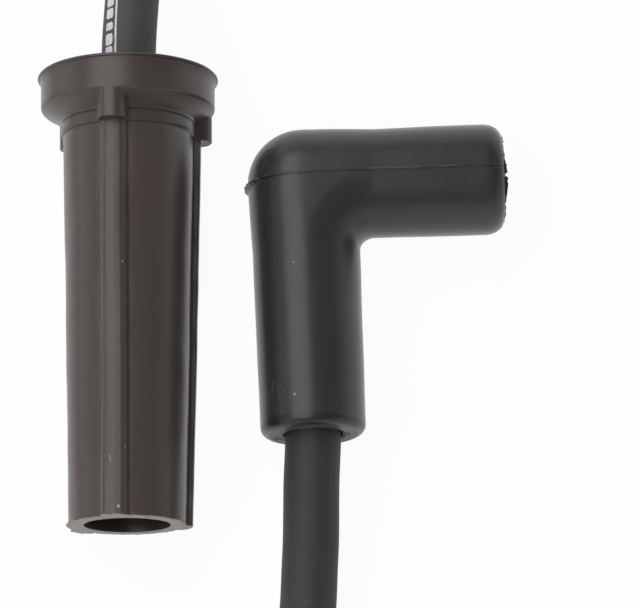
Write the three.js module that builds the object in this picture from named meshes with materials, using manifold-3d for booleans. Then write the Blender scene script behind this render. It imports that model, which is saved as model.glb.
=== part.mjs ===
// A spark plug lead lying on the plane Z = 0: a straight boot for the plug, an elbow boot for the
// other end, and the cable that loops between them. Millimetres, +Z up, +Y along the straight boot
// from its mouth to its flange. Each boot holds a crimped terminal with a spring clip, and the
// stripped end of the cable.
import * as THREE from 'three';
import { mergeVertices } from 'three/addons/utils/BufferGeometryUtils.js';
import Module from 'manifold-3d';

const wasm = await Module();
wasm.setup();

// Clearances
const seatGap = 0.3; // between pieces that seat on each other
const layerGap = 0.1; // between the bonded layers of the cable

// Cable, from the outside in
const cableDiameter = 8;
const jacketWall = 0.7;
const braidWall = 0.25;
const suppressorDiameter = 2.4;
const coreDiameter = 1;

// Straight boot: places along its axis are measured from the mouth
const plugBootLength = 65.5;
const mouthRadius = 8.25;
const neckRadius = 9.45;
const bodyLength = 56.6;
const collarStep = 0.22;
const collarLength = 1.95;
const flangeRadius = 12.8;
const flangeHeight = 4.55;
const flangeRounding = 0.9;
const coneSlope = 30; // degrees between the cone under the flange and a square section
const lipProud = 0.35;
const lipHeight = 0.8;
const lipChamfer = 0.15;
const cupDepth = 3.6;
const cupWall = 1.5;
const sleeveWall = 1.7;
const sleeveDrop = 0.4;
const plugBoreRadius = 6.1;
const plugGripRadius = 5.85;
const plugGripStart = 3;
const ribCount = 3;
const ribWidth = 3.92;
const ribHeight = 1.25;
const ribCorner = 0.45;
const ribDraft = 0.5; // how much narrower each side is at the top
const ribTurn = -8; // degrees from straight up to the first rib
const lugWidth = 4.1;
const lugReach = 12.65;
const lugCorner = 1.3;
const lugDrop = 4;

// Elbow boot: its axes cross at the corner
const cableLegLength = 37.2;
const mouthLegLength = 29.2;
const cornerRadius = 7.92;
const cableLegEndRadius = 7.53;
const mouthLegEndRadius = 8.14;
const insideFillet = 2.3;
const cableEndRounding = 1.2;
const mouthRounding = 1.5;
const elbowBoreRadius = 6.2;

// Room for the terminal, the same in both boots
const chamberRadius = 6.3;
const chamberCone = 2;

// Terminals
const sheet = 0.5;
const socketRadius = 3.3;
const socketLength = 9.5;
const plugSocketDepth = 32; // from the mouth of its boot to the socket
const elbowSocketDepth = 12.2;
const barrelRadius = 4.9;
const barrelShift = 0.6;
const barrelLength = 8;
const elbowBarrelDepth = 8; // from the corner to the barrel
const strapWidth = 4.4;
const strapLength = 3;
const strapLap = 1.5;
const strapBend = 6.5;
const seamWidth = 0.6;
const cableInset = 1; // from the front of the barrel to the cut face of the cable
const foldLength = 6;

// Spring clips
const clipWire = 0.8;
const clipGrip = 2.65; // from the socket's axis to the inner side of a leg
const clipLeg = 2.7;
const clipRise = 2.1;
const clipDepth = 4.6; // from the open end of the socket

// Places of the two boots on the plane
const plugX = -20.06;
const plugY = -32.78;
const plugYaw = 0.81;
const elbowX = 4.71;
const elbowY = 17.85;
const elbowYaw = 2.18;
const seamDepth = 2; // how far inside each boot the free cable starts

// Facets
const roundSides = 56;
const smallSides = 28;
const wireSides = 8;
const cableSides = 12;
const cableSteps = 44;

// The free cable's route on the plane, chosen by hand
const cableRoute = [
  [-20.96, 30.83, 13.04], [-21.01, 34.58, 13.33], [-20.95, 39.6, 13.55], [-20.75, 44.6, 13.5],
  [-20.5, 51.0, 13.0], [-22.1, 62.0, 11.7], [-29.2, 73.2, 9.6], [-40.4, 80.3, 7.4],
  [-53.6, 82.0, 5.6], [-66.4, 78.0, 4.5], [-76.2, 69.2, 4.1], [-81.0, 58.3, 4.03],
  [-82.2, 44.0, 4.02], [-82.5, 26.0, 4.02], [-82.6, 8.0, 4.02], [-82.5, -10.0, 4.02],
  [-82.3, -28.0, 4.02], [-82.0, -43.0, 4.02], [-79.7, -56.4, 4.02], [-73.0, -67.8, 4.02],
  [-61.9, -74.9, 4.02], [-49.0, -77.0, 4.02], [-36.0, -77.0, 4.02], [-23.0, -75.9, 4.02],
  [-9.9, -70.9, 4.02], [-0.2, -61.4, 4.05], [4.6, -49.4, 4.4], [5.7, -37.0, 5.5],
  [5.86, -26.9, 6.9], [6.08, -20.35, 7.5], [6.06, -17.62, 7.56],
];

// Sizes that follow from the ones above
const degrees = THREE.MathUtils.degToRad;
const cableRadius = cableDiameter / 2;
const cableBoreRadius = cableRadius + seatGap;
const lipRadius = flangeRadius + lipProud;
const flangeStart = plugBootLength - flangeHeight;
const barrelStart = plugSocketDepth + socketLength + strapLength;
const barrelEnd = barrelStart + barrelLength;
const cutFace = barrelStart + cableInset;
const elbowCutFace = elbowBarrelDepth + cableInset;
const plugPitch = Math.atan2(lipRadius - mouthRadius, plugBootLength - lipHeight);
const elbowPitch = Math.atan2(mouthLegEndRadius - cableLegEndRadius, cableLegLength);

// Materials
const brownSilicone = new THREE.MeshStandardMaterial({ color: 0x5b534d, roughness: 0.55 });
const blackRubber = new THREE.MeshStandardMaterial({ color: 0x37373a, roughness: 0.5 });
const cableJacket = new THREE.MeshStandardMaterial({ color: 0x3d3d40, roughness: 0.6 });
const glassBraid = new THREE.MeshStandardMaterial({ color: 0xd9d4c4, roughness: 0.9 });
const innerInsulation = new THREE.MeshStandardMaterial({ color: 0x8f9296, roughness: 0.7 });
const suppressorCoat = new THREE.MeshStandardMaterial({ color: 0x1d1c1b, roughness: 0.8 });
const aramidStrand = new THREE.MeshStandardMaterial({ color: 0xc9a545, roughness: 0.85 });
const platedSteel = new THREE.MeshStandardMaterial({ color: 0xb9b7ae, roughness: 0.35, metalness: 1 });
const springSteel = new THREE.MeshStandardMaterial({ color: 0x9a9c9f, roughness: 0.3, metalness: 1 });

// A closed geometry as a solid that can be joined and cut
function solidOf(geometry) {
  const bare = geometry.clone();
  bare.deleteAttribute('normal');
  bare.deleteAttribute('uv');
  const merged = mergeVertices(bare, 1e-4);
  const index = merged.index.array;
  const triangles = [];
  for (let i = 0; i < index.length; i += 3) {
    const [a, b, c] = [index[i], index[i + 1], index[i + 2]];
    if (a !== b && b !== c && c !== a) triangles.push(a, b, c);
  }
  const vertProperties = Float32Array.from(merged.attributes.position.array);
  const triVerts = Uint32Array.from(triangles);
  return new wasm.Manifold(new wasm.Mesh({ numProp: 3, vertProperties, triVerts }));
}

function geometryOf(solid) {
  const { vertProperties, triVerts } = solid.getMesh();
  const geometry = new THREE.BufferGeometry();
  geometry.setAttribute('position', new THREE.Float32BufferAttribute(vertProperties, 3));
  geometry.setIndex([...triVerts]);
  const faceted = geometry.toNonIndexed();
  faceted.computeVertexNormals();
  return faceted;
}

const join = (first, ...rest) => rest.reduce((whole, next) => whole.add(next), first);
const cut = (first, ...rest) => rest.reduce((left, next) => left.subtract(next), first);

// A form turned about Y, from [radius, place] points that close on the axis or on themselves
function turned(points, sides = roundSides) {
  return new THREE.LatheGeometry(points.map(([radius, y]) => new THREE.Vector2(radius, y)), sides);
}

function rod(radius, from, to, sides = roundSides) {
  return turned([[0, from], [radius, from], [radius, to], [0, to]], sides);
}

function tube(inner, outer, from, to, sides = smallSides) {
  return turned([[inner, from], [outer, from], [outer, to], [inner, to], [inner, from]], sides);
}

function block(x, y, z, atX, atY, atZ) {
  return new THREE.BoxGeometry(x, y, z).translate(atX, atY, atZ);
}

// Points of an arc in a turned outline
function arc(centreRadius, centreY, radius, from, to, steps = 4) {
  return Array.from({ length: steps + 1 }, (_, i) => {
    const angle = degrees(from + ((to - from) * i) / steps);
    return [centreRadius + radius * Math.cos(angle), centreY + radius * Math.sin(angle)];
  });
}

// A section drawn with its top towards +Z, drawn out along Y
function drawnAlongY(section, from, to) {
  const settings = { depth: to - from, bevelEnabled: false, curveSegments: 5 };
  return new THREE.ExtrudeGeometry(section, settings)
    .rotateX(-Math.PI / 2).rotateY(Math.PI).translate(0, from, 0);
}

// A round wire or cable through points
function roundAlong(points, radius, sides, steps) {
  const circle = new THREE.Shape().absarc(0, 0, radius, 0, 2 * Math.PI);
  const extrudePath = new THREE.CatmullRomCurve3(points.map((p) => new THREE.Vector3(...p)));
  return new THREE.ExtrudeGeometry(circle, { steps, extrudePath, curveSegments: sides / 2 });
}

function named(name, geometry, material) {
  const mesh = new THREE.Mesh(geometry, material);
  mesh.name = name;
  return mesh;
}

// The straight boot's outside, turned in one sweep: tapered body, collar, cone, flange and cup
function plugBootOutside() {
  const collarRadius = neckRadius + collarStep;
  const coneStart = bodyLength + collarLength;
  const cupRadius = flangeRadius - cupWall;
  const cupFloor = plugBootLength - cupDepth;
  const sleeveRadius = cableBoreRadius + sleeveWall;
  const sleeveTop = plugBootLength - sleeveDrop;
  return turned([
    [0, 0], [mouthRadius, 0], [neckRadius, bodyLength], [collarRadius, bodyLength + collarStep],
    [collarRadius, coneStart],
    ...arc(flangeRadius - flangeRounding, flangeStart, flangeRounding, coneSlope - 90, 0),
    [flangeRadius, plugBootLength - lipHeight - lipProud / 2],
    [lipRadius, plugBootLength - lipHeight],
    [lipRadius, plugBootLength - lipChamfer],
    [lipRadius - lipChamfer, plugBootLength],
    [cupRadius, plugBootLength], [cupRadius - lipChamfer, cupFloor],
    [sleeveRadius, cupFloor], [sleeveRadius, sleeveTop], [0, sleeveTop],
  ]);
}

// The straight boot's bore: plug socket, terminal chamber and cable bore
function plugBootBore() {
  const chamberStart = plugSocketDepth - 2 * seatGap;
  const chamberEnd = barrelEnd + seatGap;
  const chamberStep = chamberRadius - plugGripRadius;
  const mouthStep = plugBoreRadius - plugGripRadius;
  return turned([
    [0, -1], [plugBoreRadius, -1], [plugBoreRadius, plugGripStart - mouthStep],
    [plugGripRadius, plugGripStart], [plugGripRadius, chamberStart - chamberStep],
    [chamberRadius, chamberStart], [chamberRadius, chamberEnd],
    [cableBoreRadius, chamberEnd + chamberCone], [cableBoreRadius, plugBootLength + 1],
    [0, plugBootLength + 1],
  ]);
}

// A moulded rib along the body, as steep as its taper
function rib(turn) {
  const half = ribWidth / 2;
  const shoulder = ribHeight - ribCorner;
  const corner = half - ribDraft - ribCorner;
  const section = new THREE.Shape()
    .moveTo(-half, -ribHeight)
    .lineTo(half, -ribHeight)
    .lineTo(half, 0)
    .absarc(corner, shoulder, ribCorner, 0, Math.PI / 2)
    .absarc(-corner, shoulder, ribCorner, Math.PI / 2, Math.PI)
    .lineTo(-half, 0);
  const taper = Math.atan2(neckRadius - mouthRadius, bodyLength);
  return drawnAlongY(section, -1, bodyLength + collarLength)
    .rotateX(taper).translate(0, 0, mouthRadius).rotateY(turn);
}

// A round-nosed lug that hangs from the flange over a rib
function lug(turn) {
  const half = lugWidth / 2;
  const corner = half - lugCorner;
  const shoulder = lugReach - lugCorner;
  const section = new THREE.Shape()
    .moveTo(-half, plugBoreRadius + ribHeight)
    .lineTo(half, plugBoreRadius + ribHeight)
    .absarc(corner, shoulder, lugCorner, 0, Math.PI / 2)
    .absarc(-corner, shoulder, lugCorner, Math.PI / 2, Math.PI);
  return drawnAlongY(section, flangeStart - lugDrop, flangeStart + 1).rotateY(turn);
}

function plugBoot() {
  const turns = Array.from({ length: ribCount }, (_, i) => degrees(ribTurn) + (i * 2 * Math.PI) / ribCount);
  const bars = turns.flatMap((turn) => [solidOf(rib(turn)), solidOf(lug(turn))]);
  const belowMouth = solidOf(rod(2 * mouthRadius, -3, 0));
  const outside = join(solidOf(plugBootOutside()), ...bars);
  return geometryOf(cut(outside, belowMouth, solidOf(plugBootBore())));
}

// The elbow's outside: two tapered legs, a ball at the corner and a bend that fillets the inside
function elbowOutside() {
  const cableLeg = turned([
    [0, -cableLegLength],
    ...arc(cableLegEndRadius - cableEndRounding, cableEndRounding - cableLegLength, cableEndRounding, -90, 0),
    [cornerRadius, 0], [0, 0],
  ]);
  const mouthLeg = turned([
    [0, 0], [cornerRadius, 0],
    ...arc(mouthLegEndRadius - mouthRounding, mouthLegLength - mouthRounding, mouthRounding, 0, 90),
    [0, mouthLegLength],
  ]).rotateZ(-Math.PI / 2);
  const corner = new THREE.SphereGeometry(cornerRadius, roundSides, roundSides / 2);
  const bendRadius = cornerRadius + insideFillet;
  const bendPath = arc(bendRadius, -bendRadius, bendRadius, 180, 90, 6).map(([x, y]) => [x, y, 0]);
  const bend = roundAlong(bendPath, cornerRadius - layerGap / 2, roundSides, 10);
  return join(...[cableLeg, mouthLeg, corner, bend].map(solidOf));
}

// The elbow's bores, which meet in a ball-ended chamber
function elbowBore() {
  const chamberEnd = elbowBarrelDepth + barrelLength + seatGap;
  const cableSide = turned([
    [0, -cableLegLength - 1], [cableBoreRadius, -cableLegLength - 1],
    [cableBoreRadius, -chamberEnd - chamberCone], [chamberRadius, -chamberEnd],
    [chamberRadius, 0], [0, 0],
  ]);
  const mouthSide = rod(elbowBoreRadius, 0, mouthLegLength + 1).rotateZ(-Math.PI / 2);
  const ball = new THREE.SphereGeometry(elbowBoreRadius, roundSides, roundSides / 2);
  return join(...[cableSide, mouthSide, ball].map(solidOf));
}

// The socket of a terminal about Y, open towards -Y, rolled with a seam and slotted for its clip
function socket(from) {
  const slotHeight = clipWire + 2 * seatGap;
  const slotInside = clipGrip - 0.5;
  const slotDepth = socketRadius + sheet + 1 - slotInside;
  const slots = [-1, 1].map((side) => block(
    slotDepth, slotHeight, 2 * clipLeg + 1, side * (slotInside + slotDepth / 2), from + clipDepth, 0,
  ));
  const seam = block(seamWidth, 2 * socketLength, 2 * sheet, 0, from, socketRadius + sheet / 2);
  const shell = tube(socketRadius, socketRadius + sheet, from, from + socketLength);
  return { shell, cuts: [...slots, seam] };
}

// The crimp barrel about Y, set off centre to take the folded strand, with its rolled seam
function barrel(from) {
  const shell = tube(barrelRadius, barrelRadius + sheet, from, from + barrelLength).translate(barrelShift, 0, 0);
  const seam = block(seamWidth, 3 * barrelLength, 2 * sheet, barrelShift, from, barrelRadius + sheet / 2);
  return { shell, cuts: [seam] };
}

// A strap of sheet metal, from its side view in XY
function strap(points) {
  const side = new THREE.Shape(points.map(([x, y]) => new THREE.Vector2(x, y)));
  return new THREE.ExtrudeGeometry(side, { depth: strapWidth, bevelEnabled: false })
    .translate(0, 0, -strapWidth / 2);
}

const strapAtSocket = socketRadius + sheet / 2;
const strapAtBarrel = barrelRadius + sheet / 2 - barrelShift;

function plugTerminal() {
  const end = plugSocketDepth + socketLength;
  const centreLine = [
    [-strapAtSocket, end - strapLap], [-strapAtSocket, end],
    [-strapAtBarrel, barrelStart], [-strapAtBarrel, barrelStart + strapLap],
  ];
  const half = sheet / 2 - layerGap / 2;
  const outline = [
    ...centreLine.map(([x, y]) => [x - half, y]),
    ...centreLine.toReversed().map(([x, y]) => [x + half, y]),
  ];
  const rolled = [socket(plugSocketDepth), barrel(barrelStart)];
  const shells = rolled.map(({ shell }) => solidOf(shell));
  const cuts = rolled.flatMap((piece) => piece.cuts.map(solidOf));
  return geometryOf(join(cut(join(...shells), ...cuts), solidOf(strap(outline.toReversed()))));
}

function elbowTerminal() {
  const half = sheet / 2 - layerGap / 2;
  const socketBack = mouthLegLength - elbowSocketDepth - socketLength;
  const centreX = strapBend - strapAtBarrel;
  const centreY = strapAtSocket - strapBend;
  const outline = [
    [-strapAtBarrel - half, -elbowBarrelDepth - strapLap],
    ...arc(centreX, centreY, strapBend + half, 180, 90, 8),
    [socketBack + strapLap, strapAtSocket + half],
    [socketBack + strapLap, strapAtSocket - half],
    ...arc(centreX, centreY, strapBend - half, 90, 180, 8),
    [-strapAtBarrel + half, -elbowBarrelDepth - strapLap],
  ];
  const front = socket(elbowSocketDepth - mouthLegLength);
  const rear = barrel(-elbowBarrelDepth - barrelLength);
  const turnedSocket = [front.shell, ...front.cuts].map((piece) => solidOf(piece.rotateZ(Math.PI / 2)));
  const socketSolid = cut(...turnedSocket);
  const barrelSolid = cut(solidOf(rear.shell), ...rear.cuts.map(solidOf));
  return geometryOf(join(socketSolid, barrelSolid, solidOf(strap(outline.toReversed()))));
}

// A hairpin of spring wire across the socket: two legs in the slots and an arch over the top
function springClip(y) {
  const reach = clipGrip + clipWire / 2;
  const arch = arc(0, clipRise, reach, 0, 180, 8).map(([x, z]) => [x, y, z]);
  const points = [
    [reach, y, -clipLeg], [reach, y, -clipLeg / 2], [reach, y, 0], ...arch,
    [-reach, y, 0], [-reach, y, -clipLeg / 2], [-reach, y, -clipLeg],
  ];
  return roundAlong(points, clipWire / 2, wireSides, 22);
}

// The cut end of the cable about Y, from its cut face at 0: each layer, and the strand that leaves
// the face and folds back outside the jacket
function cableEnd(prefix, length) {
  const braidOuter = cableRadius - jacketWall - layerGap;
  const insulationOuter = braidOuter - braidWall - layerGap;
  const suppressorOuter = suppressorDiameter / 2;
  const strandRadius = coreDiameter / 2;
  const foldX = cableRadius + strandRadius + seatGap - layerGap / 2;
  const fold = arc(foldX / 2, -strandRadius, foldX / 2, 180, 360, 8).map(([x, y]) => [x, y, 0]);
  const strand = [
    [0, length, 0], [0, length * 0.7, 0], [0, length * 0.4, 0], [0, length * 0.15, 0],
    ...fold,
    [foldX, foldLength * 0.35, 0], [foldX, foldLength * 0.7, 0], [foldX, foldLength, 0],
  ];
  const end = new THREE.Group();
  end.add(
    named(`${prefix}_jacket`, tube(cableRadius - jacketWall, cableRadius, 0, length), cableJacket),
    named(`${prefix}_braid`, tube(braidOuter - braidWall, braidOuter, 0, length), glassBraid),
    named(
      `${prefix}_insulation`,
      tube(suppressorOuter + layerGap, insulationOuter, 0, length), innerInsulation,
    ),
    named(
      `${prefix}_suppressor`,
      tube(strandRadius + layerGap, suppressorOuter, 0, length), suppressorCoat,
    ),
    named(`${prefix}_core`, roundAlong(strand, strandRadius, wireSides, 40), aramidStrand),
  );
  return end;
}

// The straight boot with what it holds, lying on its lip and its mouth
const plugEnd = new THREE.Group();
const plugCable = cableEnd('plug_end', plugBootLength - seamDepth - cutFace);
plugCable.position.y = cutFace;
plugEnd.add(
  named('plug_boot', plugBoot(), brownSilicone),
  named('plug_terminal', plugTerminal(), platedSteel),
  named('plug_terminal_clip', springClip(plugSocketDepth + clipDepth), springSteel),
  plugCable,
);
plugEnd.rotation.set(plugPitch, 0, degrees(plugYaw));
plugEnd.position.set(plugX, plugY, mouthRadius * Math.cos(plugPitch));

// The elbow boot with what it holds, lying on its side
const elbowEnd = new THREE.Group();
const elbowCable = cableEnd('elbow_end', cableLegLength - seamDepth - elbowCutFace);
elbowCable.position.y = -elbowCutFace;
elbowCable.rotation.x = Math.PI;
const elbowClip = springClip(elbowSocketDepth - mouthLegLength + clipDepth).rotateZ(Math.PI / 2);
elbowEnd.add(
  named('elbow_boot', geometryOf(cut(elbowOutside(), elbowBore())), blackRubber),
  named('elbow_terminal', elbowTerminal(), platedSteel),
  named('elbow_terminal_clip', elbowClip, springSteel),
  elbowCable,
);
elbowEnd.rotation.set(elbowPitch, 0, degrees(elbowYaw));
elbowEnd.position.set(elbowX, elbowY, mouthLegEndRadius);

const lead = new THREE.Group();
lead.add(
  plugEnd,
  elbowEnd,
  named('cable', roundAlong(cableRoute, cableRadius, cableSides, cableSteps), cableJacket),
);

export default lead;
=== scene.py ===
import math

import bmesh
import bpy
from mathutils import Matrix, Vector, noise


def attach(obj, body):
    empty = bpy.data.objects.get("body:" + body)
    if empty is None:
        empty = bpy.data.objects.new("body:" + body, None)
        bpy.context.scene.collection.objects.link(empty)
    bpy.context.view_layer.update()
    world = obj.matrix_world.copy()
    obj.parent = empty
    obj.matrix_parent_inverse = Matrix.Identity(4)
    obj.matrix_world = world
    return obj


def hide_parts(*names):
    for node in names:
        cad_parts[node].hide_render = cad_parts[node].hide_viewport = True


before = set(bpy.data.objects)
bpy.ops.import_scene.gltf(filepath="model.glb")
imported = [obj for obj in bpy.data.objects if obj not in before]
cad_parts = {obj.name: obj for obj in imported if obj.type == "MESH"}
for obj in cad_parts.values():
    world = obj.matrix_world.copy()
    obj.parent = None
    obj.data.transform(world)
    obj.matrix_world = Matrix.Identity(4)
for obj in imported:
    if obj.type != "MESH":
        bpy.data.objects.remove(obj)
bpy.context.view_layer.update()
mm = 0.001
print("frame loaded:", len(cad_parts), "nodes")


# Shader maths

class Signal:
    def __init__(self, finish, socket):
        self.finish = finish
        self.socket = socket

    def math(self, operation, *others):
        return self.finish.node("ShaderNodeMath", {"operation": operation}, [self, *others])

    def __add__(self, other):
        return self.math("ADD", other)

    __radd__ = __add__

    def __sub__(self, other):
        return self.math("SUBTRACT", other)

    def __rsub__(self, other):
        return self.finish.node("ShaderNodeMath", {"operation": "SUBTRACT"}, [other, self])

    def __mul__(self, other):
        return self.math("MULTIPLY", other)

    def __truediv__(self, other):
        return self.math("DIVIDE", other)

    def absolute(self):
        return self.math("ABSOLUTE")

    def above(self, start, end):  # 0 below start, 1 above end, smooth between
        values = {"Value": self, "From Min": start, "From Max": end}
        return self.finish.node("ShaderNodeMapRange", {"interpolation_type": "SMOOTHSTEP"}, values)

    def near(self, centre, radius, softness=0.5):  # 1 within a ball, 0 outside it
        distance = self.finish.node("ShaderNodeVectorMath", {"operation": "DISTANCE"}, [self, centre], 1)
        return 1 - distance.above(radius * (1 - softness), radius * (1 + softness * 0.4))


class Finish:
    def __init__(self, owner):
        owner.use_nodes = True
        self.owner = owner
        self.tree = owner.node_tree
        self.tree.nodes.clear()

    def node(self, kind, settings=None, inputs=None, output=0):
        made = self.tree.nodes.new(kind)
        for key, value in (settings or {}).items():
            setattr(made, key, value)
        pairs = inputs.items() if isinstance(inputs, dict) else enumerate(inputs or [])
        for key, value in pairs:
            if isinstance(value, Signal):
                self.tree.links.new(value.socket, made.inputs[key])
            else:
                made.inputs[key].default_value = value
        return Signal(self, made.outputs[output]) if made.outputs else made

    def objectPlace(self):
        return self.node("ShaderNodeTexCoord", output="Object")

    def attribute(self, name):
        return self.node("ShaderNodeAttribute", {"attribute_name": name}, output="Vector")

    def parts(self, vector):
        split = self.node("ShaderNodeSeparateXYZ", inputs=[vector])
        return [Signal(self, output) for output in split.socket.node.outputs]

    def stretched(self, place, factors):
        return self.node("ShaderNodeMapping", inputs={"Vector": place, "Scale": factors})

    def grain(self, place, scale, detail=2.0, roughness=0.5):
        values = {"Vector": place, "Scale": scale, "Detail": detail, "Roughness": roughness}
        return self.node("ShaderNodeTexNoise", inputs=values)

    def cells(self, place, scale):
        return self.node("ShaderNodeTexVoronoi", inputs={"Vector": place, "Scale": scale})

    def marks(self, place, marks):  # small round marks, each at a centre with a radius
        found = place.near(*marks[0])
        for mark in marks[1:]:
            found = found.math("MAXIMUM", place.near(*mark))
        return found

    def blend(self, factor, first, second):
        return self.node("ShaderNodeMix", {"data_type": "RGBA"}, {0: factor, 6: first, 7: second}, 2)

    def bump(self, height, distance, strength=1.0):
        values = {"Height": height, "Distance": distance, "Strength": strength}
        return self.node("ShaderNodeBump", inputs=values)

    def close(self, **values):
        named = {key.replace("_", " "): value for key, value in values.items()}
        surface = self.node("ShaderNodeBsdfPrincipled", inputs=named)
        self.node("ShaderNodeOutputMaterial", inputs={"Surface": surface})
        return self.owner


def finish(name):
    return Finish(bpy.data.materials.new(name))


def tone(red, green, blue):  # a colour as it is seen, 0 to 255, made linear
    def linear(value):
        share = value / 255
        return share / 12.92 if share <= 0.04045 else ((share + 0.055) / 1.055) ** 2.4
    return (linear(red), linear(green), linear(blue), 1.0)


# Camera, at the angle of the picture

view = {
    "target": (0.00707, -0.00024, 0.008),
    "fromVertical": 17.77,
    "distance": 0.37576,
    "lens": 146.25,
    "sensor": 36.0,
}


def placeCamera():
    data = bpy.data.cameras.new("camera")
    data.lens = view["lens"]
    data.sensor_width = view["sensor"]
    data.sensor_fit = "HORIZONTAL"
    data.clip_start = 0.01
    camera = bpy.data.objects.new("camera", data)
    bpy.context.scene.collection.objects.link(camera)
    tilt = math.radians(view["fromVertical"])
    camera.rotation_euler = (tilt, 0, 0)
    back = Vector((0, -math.sin(tilt), math.cos(tilt)))
    camera.location = Vector(view["target"]) + back * view["distance"]
    bpy.context.scene.camera = camera


placeCamera()
print("camera placed")


# Mesh helpers

def pieceFrom(bm, name, material, sharpAngle=38):
    bmesh.ops.remove_doubles(bm, verts=bm.verts, dist=1e-7)
    bmesh.ops.recalc_face_normals(bm, faces=bm.faces)
    for face in bm.faces:
        face.smooth = True
    for edge in bm.edges:
        if len(edge.link_faces) == 2 and edge.calc_face_angle(0) > math.radians(sharpAngle):
            edge.smooth = False
    mesh = bpy.data.meshes.new(name)
    bm.to_mesh(mesh)
    bm.free()
    mesh.materials.append(material)
    made = bpy.data.objects.new(name, mesh)
    bpy.context.scene.collection.objects.link(made)
    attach(made, "root")
    return made


def pairsRound(ring):
    return list(zip(ring, ring[1:] + ring[:1]))


def nextRing(bm, ring):  # extrudes a ring of vertices, and gives the new ring in the same order
    edges = [bm.edges.get(pair) for pair in pairsRound(ring)]
    made = bmesh.ops.extrude_edge_only(bm, edges=edges)["geom"]
    fresh = {item for item in made if isinstance(item, bmesh.types.BMVert)}
    return [next(e.other_vert(v) for e in v.link_edges if e.other_vert(v) in fresh) for v in ring]


def drawThrough(bm, rings, closed=False):  # a tube through rings of places, its ends capped or joined
    circle = bmesh.ops.create_circle(bm, segments=len(rings[0]), radius=1)["verts"]
    first = sorted(circle, key=lambda v: math.atan2(v.co.y, v.co.x) % (2 * math.pi))
    current = first
    drawn = []
    for i, places in enumerate(rings):
        if i:
            current = nextRing(bm, current)
        for vertex, place in zip(current, places):
            vertex.co = place
        drawn.append(current)
    start, end = ([bm.edges.get(pair) for pair in pairsRound(ring)] for ring in (first, current))
    if closed:
        bmesh.ops.bridge_loops(bm, edges=start + end)
    else:
        bmesh.ops.contextual_create(bm, geom=start)
        bmesh.ops.contextual_create(bm, geom=end)
    return drawn


def toFrame(bm, matrix):  # from a boot's own millimetres to the frame, resting on the plane
    bmesh.ops.transform(bm, matrix=matrix, verts=bm.verts)
    bmesh.ops.scale(bm, vec=(mm, mm, mm), verts=bm.verts)
    for vertex in bm.verts:
        vertex.co.z = max(vertex.co.z, 0.0)


flashFoot = 0.25  # how deep in mm a fin is rooted in its boot


# A thin ragged fin left by the mould: stations of (place, outward, across, height) in millimetres
def makeFlash(name, stations, thickness, matrix, material, closed=False):
    rings = []
    for place, outward, across, height in stations:
        foot = place - outward * flashFoot
        tip = place + outward * height
        thin = across * thickness / 2
        rings.append([foot - thin, foot + thin, tip + thin * 0.35, tip - thin * 0.35])
    bm = bmesh.new()
    drawThrough(bm, rings, closed=closed)
    toFrame(bm, matrix)
    return pieceFrom(bm, name, material, 60)


def ragged(seed, where, low, high):  # an uneven height between low and high
    coarse = noise.noise(Vector((where * 2.1, seed, 0)))
    fine = noise.noise(Vector((where * 6.3, 0, seed)))
    rough = 0.6 * coarse + 0.4 * fine
    return low + (high - low) * min(1.0, max(0.0, 0.5 + rough))


# Free cable: its route on the plane, the same as its solid's, in metres

cableLook = {
    "route": [
        (-0.02096, 0.03083, 0.01304), (-0.02101, 0.03458, 0.01333), (-0.02095, 0.0396, 0.01355),
        (-0.02075, 0.0446, 0.0135), (-0.0205, 0.051, 0.013), (-0.0221, 0.062, 0.0117),
        (-0.0292, 0.0732, 0.0096), (-0.0404, 0.0803, 0.0074), (-0.0536, 0.082, 0.0056),
        (-0.0664, 0.078, 0.0045), (-0.0762, 0.0692, 0.0041), (-0.081, 0.0583, 0.00403),
        (-0.0822, 0.044, 0.00402), (-0.0825, 0.026, 0.00402), (-0.0826, 0.008, 0.00402),
        (-0.0825, -0.01, 0.00402), (-0.0823, -0.028, 0.00402), (-0.082, -0.043, 0.00402),
        (-0.0797, -0.0564, 0.00402), (-0.073, -0.0678, 0.00402), (-0.0619, -0.0749, 0.00402),
        (-0.049, -0.077, 0.00402), (-0.036, -0.077, 0.00402), (-0.023, -0.0759, 0.00402),
        (-0.0099, -0.0709, 0.00402), (-0.0002, -0.0614, 0.00405), (0.0046, -0.0494, 0.0044),
        (0.0057, -0.037, 0.0055), (0.00586, -0.0269, 0.0069), (0.00608, -0.02035, 0.0075),
        (0.00606, -0.01762, 0.00756),
    ],
    "radius": 0.004,
    "length": 0.37,
    "exit": (-0.02098, 0.0322, 0.01315),
    "ringSpacing": 0.0009,
    "sides": 48,
    "unevenness": 0.00003,
    "twist": 140,  # degrees from one boot to the other
    "lineAt": 23.5,  # degrees left of the top, at the straight boot
    "lineWidth": 0.00033,
    "blocksAt": 41.5,  # degrees too
    "blockWidth": 0.00147,
    "blockPitch": 0.00196,
    "blockCorner": 0.00038,
    "groupPitch": 0.052,
    "groupShare": 0.56,  # of each pitch is printed
    "darkFrom": (0.26, 0.37),  # darker towards the elbow boot
}


def splinePoints(points, perSpan=16):  # a centripetal spline through the points
    padded = [points[0] * 2 - points[1], *points, points[-1] * 2 - points[-2]]
    found = []
    for p0, p1, p2, p3 in zip(padded, padded[1:], padded[2:], padded[3:]):
        d0, d1, d2 = (math.sqrt((b - a).length) for a, b in ((p0, p1), (p1, p2), (p2, p3)))
        leave = ((p1 - p0) / d0 - (p2 - p0) / (d0 + d1) + (p2 - p1) / d1) * d1
        arrive = ((p2 - p1) / d1 - (p3 - p1) / (d1 + d2) + (p3 - p2) / d2) * d1
        for i in range(perSpan):
            t = i / perSpan
            found.append(
                p1 * (2 * t**3 - 3 * t**2 + 1) + leave * (t**3 - 2 * t**2 + t)
                + p2 * (3 * t**2 - 2 * t**3) + arrive * (t**3 - t**2))
    return found + [points[-1]]


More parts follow.
